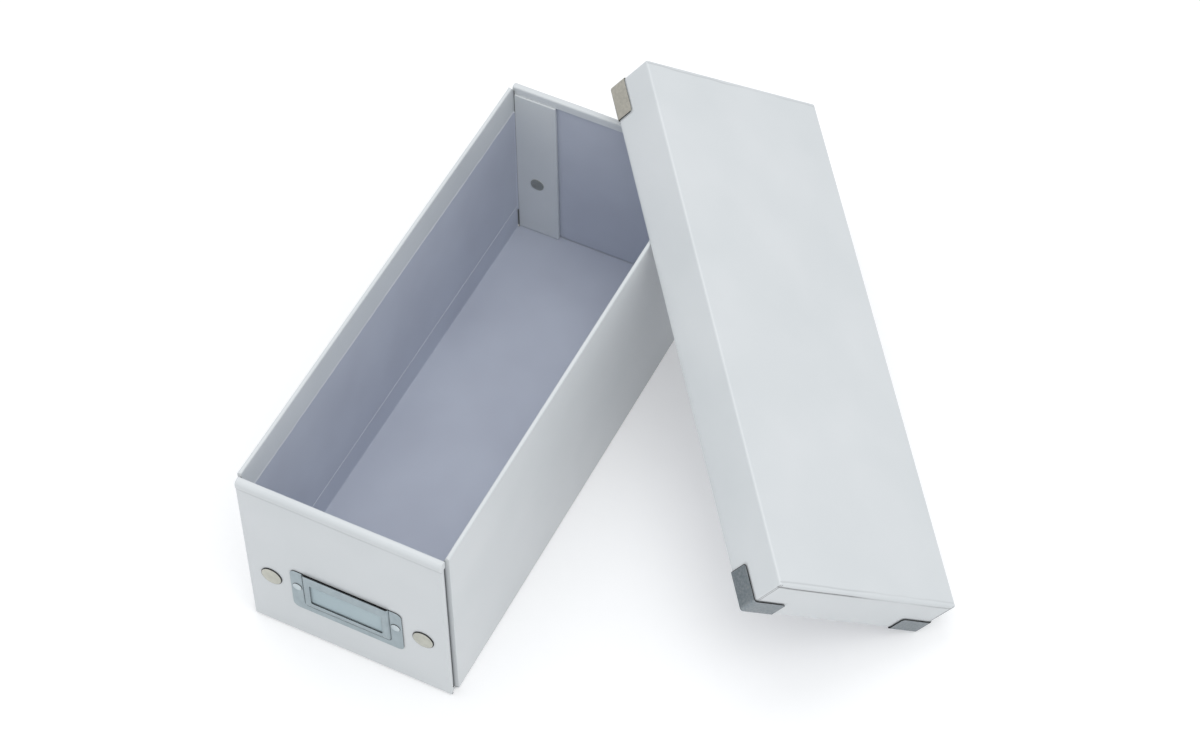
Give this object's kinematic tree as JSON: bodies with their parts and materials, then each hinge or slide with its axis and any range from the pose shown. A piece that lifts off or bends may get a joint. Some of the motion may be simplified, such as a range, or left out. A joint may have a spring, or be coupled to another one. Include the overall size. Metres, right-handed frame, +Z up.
{
  "type": "disc storage box",
  "caption": "Open box of paper-covered board for discs, with a let-down front, press studs, a label holder and a lift-off lid with metal corners leaning on its side.",
  "frame": {"origin": "centre of the box's underside, on the surface it stands on", "axes": "+Z up; +Y along the box's length, from the front wall with the label holder to the rear wall; +X to the right, where the lid leans"},
  "size_m": [0.3805, 0.4411, 0.1832],
  "materials": {
    "grey_board": "solid grey board, matt, 2 mm",
    "outer_paper": "white film-faced paper, satin",
    "lining_paper": "white lining paper, matt",
    "card_paper": "pale blank card",
    "stud_nickel": "warm nickel plate, satin",
    "holder_steel": "satin plated steel",
    "corner_steel": "satin plated steel"
  },
  "bodies": {
    "box_body": {"base_board": "grey_board", "base_lining": "lining_paper", "base_wrap": "outer_paper", "front_flap_studs": "stud_nickel", "front_left_flap_board": "grey_board", "front_left_flap_wrap": "outer_paper", "front_right_flap_board": "grey_board", "front_right_flap_wrap": "outer_paper", "left_wall_board": "grey_board", "left_wall_lining": "lining_paper", "left_wall_wrap": "outer_paper", "rear_flap_studs": "stud_nickel", "rear_left_flap_board": "grey_board", "rear_left_flap_wrap": "outer_paper", "rear_right_flap_board": "grey_board", "rear_right_flap_wrap": "outer_paper", "rear_rim_strip": "grey_board", "rear_stud_caps": "stud_nickel", "rear_stud_sockets": "stud_nickel", "rear_wall_board": "grey_board", "rear_wall_lining": "lining_paper", "rear_wall_wrap": "outer_paper", "right_wall_board": "grey_board", "right_wall_lining": "lining_paper", "right_wall_wrap": "outer_paper"},
    "front_wall": {"front_wall_board": "grey_board", "front_rim_strip": "grey_board", "front_wall_wrap": "outer_paper", "front_wall_lining": "lining_paper", "front_stud_caps": "stud_nickel", "front_stud_sockets": "stud_nickel", "label_holder": "holder_steel", "label_holder_rivets": "holder_steel", "front_base_fold": "outer_paper"},
    "label_card": {"label_card": "card_paper"},
    "lid": {"lid_corner_front_left": "corner_steel", "lid_corner_front_right": "corner_steel", "lid_corner_rear_left": "corner_steel", "lid_corner_rear_right": "corner_steel", "lid_front_skirt_board": "grey_board", "lid_left_skirt_board": "grey_board", "lid_lining": "lining_paper", "lid_rear_skirt_board": "grey_board", "lid_right_skirt_board": "grey_board", "lid_top_board": "grey_board", "lid_wrap": "outer_paper"}
  },
  "joints": [
    {"name": "front_wall_fold", "type": "hinge", "parent": "box_body", "child": "front_wall", "pos_m": [0, -0.17196, 0.00079], "axis": [1, 0, 0], "range_deg": [0, 86.5], "deforming": ["front_base_fold"]},
    {"name": "label_card_slide", "type": "slide", "parent": "front_wall", "child": "label_card", "axis": [0, 0, 1], "range_m": [0, 0.03]},
    {"name": "lid_lift", "type": "slide", "parent": "box_body", "child": "lid", "axis": [0, 0, 1], "range_m": [0, 0.15]}
  ]
}
